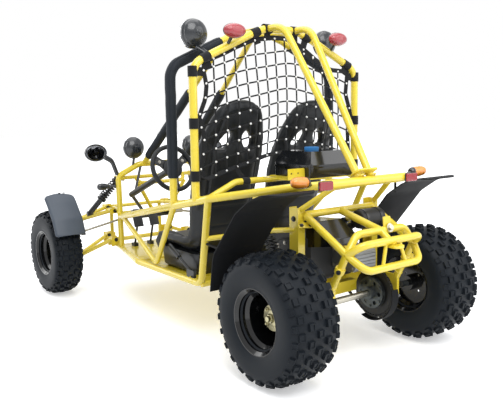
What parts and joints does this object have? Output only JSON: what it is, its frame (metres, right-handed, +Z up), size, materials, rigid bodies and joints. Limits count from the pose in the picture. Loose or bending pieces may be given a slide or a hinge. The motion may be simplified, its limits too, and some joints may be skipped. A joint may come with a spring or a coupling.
{
  "type": "dune buggy",
  "caption": "two-seat tube-frame dune buggy with roll cage, knobby tyres, rear engine on a swingarm, steered front wheels, bucket seats, safety net and roof lamps",
  "frame": {"origin": "on the ground under the middle of the vehicle", "axes": "+X forward, +Y to the left, +Z up"},
  "size_m": [2.546, 1.468, 1.569],
  "materials": {
    "yellow_paint": "gloss",
    "black_foam": "matt",
    "seat_vinyl": "satin",
    "net_webbing": "matt",
    "tank_plastic": "gloss",
    "blue_plastic": "satin",
    "black_steel": "satin",
    "grip_rubber": "matt",
    "bare_steel": "satin",
    "engine_alloy": "cast",
    "muffler_steel": "matt",
    "fender_plastic": "satin",
    "rim_black": "gloss",
    "tyre_rubber": "matt",
    "lamp_black": "satin",
    "red_lens": "gloss",
    "amber_lens": "gloss"
  },
  "bodies": {
    "chassis": {"chain": "bare_steel", "chain_guard": "tank_plastic", "dampers": "black_steel", "engine": "engine_alloy", "engine_cover": "tank_plastic", "engine_guard": "yellow_paint", "floor_frame": "yellow_paint", "foam_pads": "black_foam", "front_frame": "yellow_paint", "front_hoop": "yellow_paint", "front_lower_arms": "yellow_paint", "front_upper_arms": "yellow_paint", "fuel_cap": "blue_plastic", "fuel_tank": "tank_plastic", "hand_brake_lever": "black_steel", "headlamps": "lamp_black", "left_seat": "seat_vinyl", "left_side_frame": "yellow_paint", "main_hoop": "yellow_paint", "mirrors": "lamp_black", "muffler": "muffler_steel", "pedals": "black_steel", "rear_fenders": "fender_plastic", "rear_frame": "yellow_paint", "rear_reflectors": "red_lens", "right_seat": "seat_vinyl", "right_side_frame": "yellow_paint", "roof_spot_lamps": "lamp_black", "roof_tail_lamps": "red_lens", "safety_net": "net_webbing", "seat_crossbar": "yellow_paint", "spine_tubes": "yellow_paint", "springs": "black_steel", "steering_column": "black_steel", "swingarm": "yellow_paint", "tank_tray": "yellow_paint", "turn_lamps": "amber_lens"},
    "left_steering": {"front_left_knuckle": "black_steel", "front_left_fender": "fender_plastic"},
    "right_steering": {"front_right_knuckle": "black_steel", "front_right_fender": "fender_plastic"},
    "rack_set": {"steering_rack": "bare_steel"},
    "steering_set": {"steering_wheel": "grip_rubber"},
    "left_front_wheel": {"front_left_rim": "rim_black", "front_left_tyre": "tyre_rubber"},
    "right_front_wheel": {"front_right_rim": "rim_black", "front_right_tyre": "tyre_rubber"},
    "rear_wheel_set": {"rear_axle": "bare_steel", "rear_rims": "rim_black", "rear_tyres": "tyre_rubber"}
  },
  "joints": [
    {"name": "left_kingpin", "type": "hinge", "parent": "chassis", "child": "left_steering", "pos_m": [1.0065, 0.52, 0.2665], "axis": [0, 0, 1], "range_deg": [-26, 26]},
    {"name": "right_kingpin", "type": "hinge", "parent": "chassis", "child": "right_steering", "pos_m": [1.0065, -0.52, 0.2665], "axis": [0, 0, 1], "range_deg": [-26.5, 26.5]},
    {"name": "rack_slide", "type": "slide", "parent": "chassis", "child": "rack_set", "axis": [0, 1, 0], "range_m": [-0.0665, 0.0665]},
    {"name": "steering_turn", "type": "hinge", "parent": "chassis", "child": "steering_set", "pos_m": [0.1715, 0.25, 0.823], "axis": [-0.9367, 0, 0.3502], "range_deg": [-131, 131]},
    {"name": "left_front_spin", "type": "hinge", "parent": "left_steering", "child": "left_front_wheel", "pos_m": [1.0065, 0.645, 0.2665], "axis": [0, 1, 0], "continuous": true},
    {"name": "right_front_spin", "type": "hinge", "parent": "right_steering", "child": "right_front_wheel", "pos_m": [1.0065, -0.645, 0.2665], "axis": [0, 1, 0], "continuous": true},
    {"name": "rear_spin", "type": "hinge", "parent": "chassis", "child": "rear_wheel_set", "pos_m": [-0.9935, 0, 0.2795], "axis": [0, 1, 0], "continuous": true}
  ],
  "couplings": [
    {"joint": "right_kingpin", "follows": "left_kingpin", "ratio": 1},
    {"joint": "rack_slide", "follows": "left_kingpin", "m_per_rad": -0.145},
    {"joint": "steering_turn", "follows": "left_kingpin", "ratio": 5}
  ]
}
